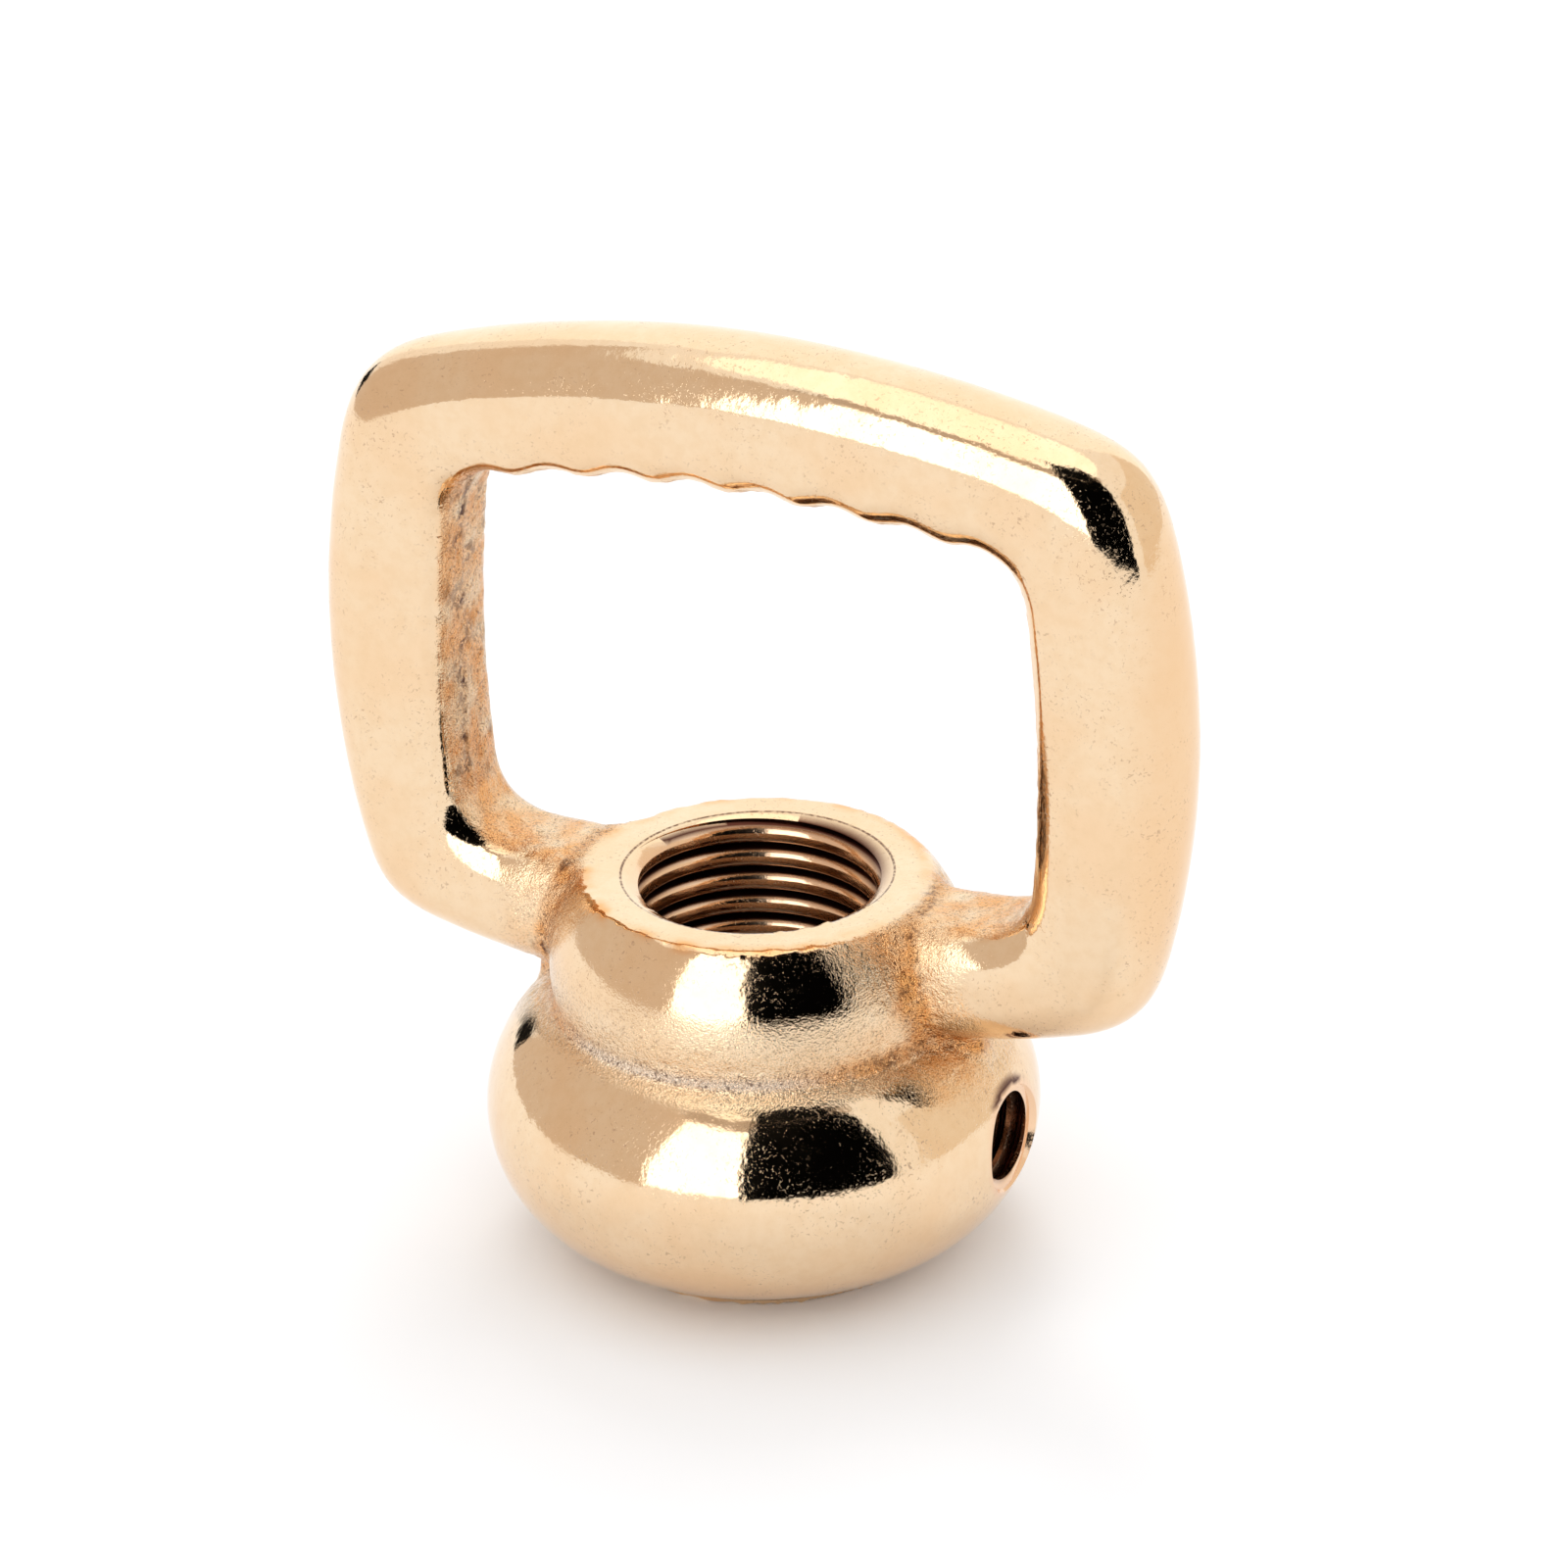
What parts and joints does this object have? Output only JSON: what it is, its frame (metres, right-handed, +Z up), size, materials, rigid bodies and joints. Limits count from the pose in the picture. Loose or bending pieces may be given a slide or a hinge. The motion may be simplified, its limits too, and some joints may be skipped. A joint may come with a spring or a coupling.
{
  "type": "threaded suspension loop",
  "caption": "Cast suspension loop: a rounded carrying frame for a hook or chain, on a ball-shaped hub threaded for lamp pipe and locked by a slotted set screw.",
  "frame": {"origin": "centre of the foot's underside, on the axis of the pipe bore", "axes": "+Z up the pipe bore towards the carrying frame's top bar, X along the frame's width with the set screw on +X, Y through the eye"},
  "size_m": [0.0344, 0.021, 0.036],
  "materials": {
    "gold_plated_casting": "polished pale gold plating over a cast surface, grainy in the hollows",
    "gold_plated_screw": "turned, dull rose-gold plating"
  },
  "bodies": {
    "casting": {"loop_casting": "gold_plated_casting"},
    "screw": {"set_screw": "gold_plated_screw"}
  },
  "joints": [
    {"name": "set_screw_travel", "type": "slide", "parent": "casting", "child": "screw", "axis": [1, 0, 0], "range_m": [-0.0007, 0.0035]}
  ]
}
